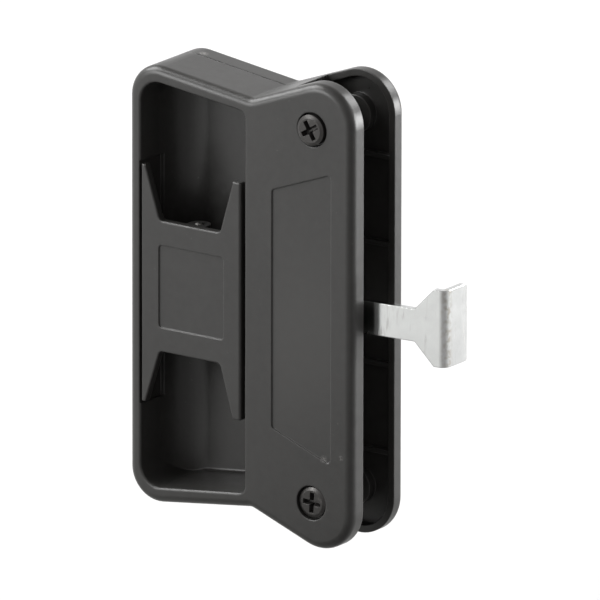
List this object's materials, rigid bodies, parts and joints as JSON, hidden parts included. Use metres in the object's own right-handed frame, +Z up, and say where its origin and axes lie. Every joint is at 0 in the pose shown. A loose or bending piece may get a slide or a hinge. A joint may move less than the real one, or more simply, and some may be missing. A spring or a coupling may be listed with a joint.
{
  "type": "sliding screen door handle",
  "caption": "Clamp-on sliding screen door handle with a finger recess, a rocking thumb lever and a flared steel hook latch.",
  "frame": {"origin": "midway between the two plate screws, on the plane where the front plate bears on the door stile", "axes": "+X along the plate towards the hook, +Y from the room through the door, +Z up the door stile"},
  "size_m": [0.0885, 0.023, 0.1184],
  "materials": {
    "shell_front": "fine satin black moulding",
    "shell_rear": "fine satin black moulding",
    "rocker": "fine satin black moulding",
    "latch_steel": "bright zinc plate, lightly rolled grain",
    "small_screws": "zinc plate",
    "pin_steel": "plain turned steel",
    "plate_screws": "black finished steel"
  },
  "bodies": {
    "housing": {"front_housing": "shell_front", "rear_housing": "shell_rear", "pivot_pin": "pin_steel", "screw_upper": "plate_screws", "screw_lower": "plate_screws"},
    "lever": {"thumb_rocker": "rocker", "latch_hook": "latch_steel", "latch_screw_inner": "small_screws", "latch_screw_outer": "small_screws"}
  },
  "joints": [
    {"name": "rocker_swing", "type": "hinge", "parent": "housing", "child": "lever", "pos_m": [-0.0372, -0.0001, 0], "axis": [0, 0, 1], "range_deg": [-3, 8]}
  ]
}
